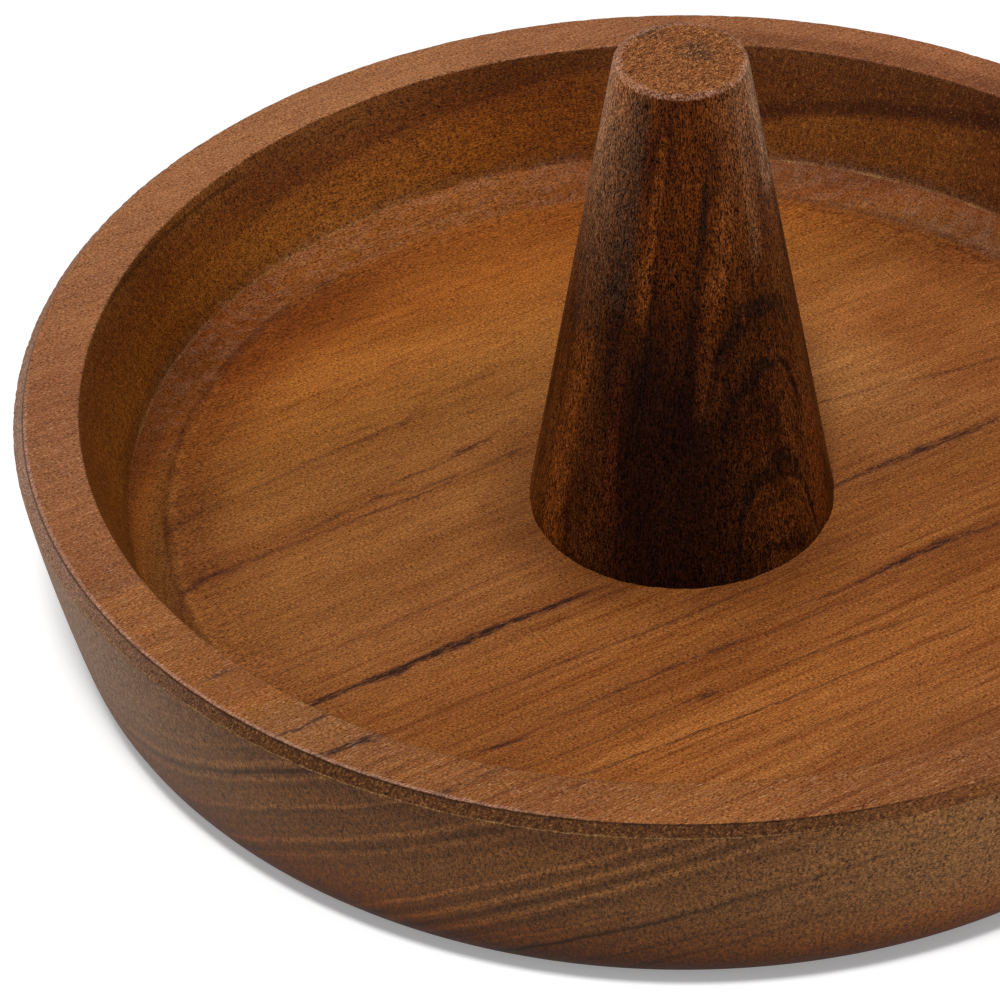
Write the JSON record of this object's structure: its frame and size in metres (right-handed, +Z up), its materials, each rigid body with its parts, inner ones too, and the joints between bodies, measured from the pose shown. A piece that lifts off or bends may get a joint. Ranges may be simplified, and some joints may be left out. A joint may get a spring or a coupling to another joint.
{
  "type": "ring dish",
  "caption": "Shallow round turned-wood dish with an upright tapered wooden post on its floor that holds finger rings.",
  "frame": {"origin": "centre of the dish's flat foot, on the surface it stands on", "axes": "+Z up along the turning axis of dish and post; the dish's grain runs level, about 32 degrees from +X towards +Y"},
  "size_m": [0.114, 0.114, 0.0539],
  "materials": {
    "dish_wood": "oiled teak, golden brown with darker veins, satin",
    "cone_wood": "oiled dark heartwood, grain upright, satin",
    "screw_steel": "zinc plated"
  },
  "bodies": {
    "root": {"dish": "dish_wood", "ring_cone": "cone_wood", "cone_screw": "screw_steel"}
  },
  "joints": []
}
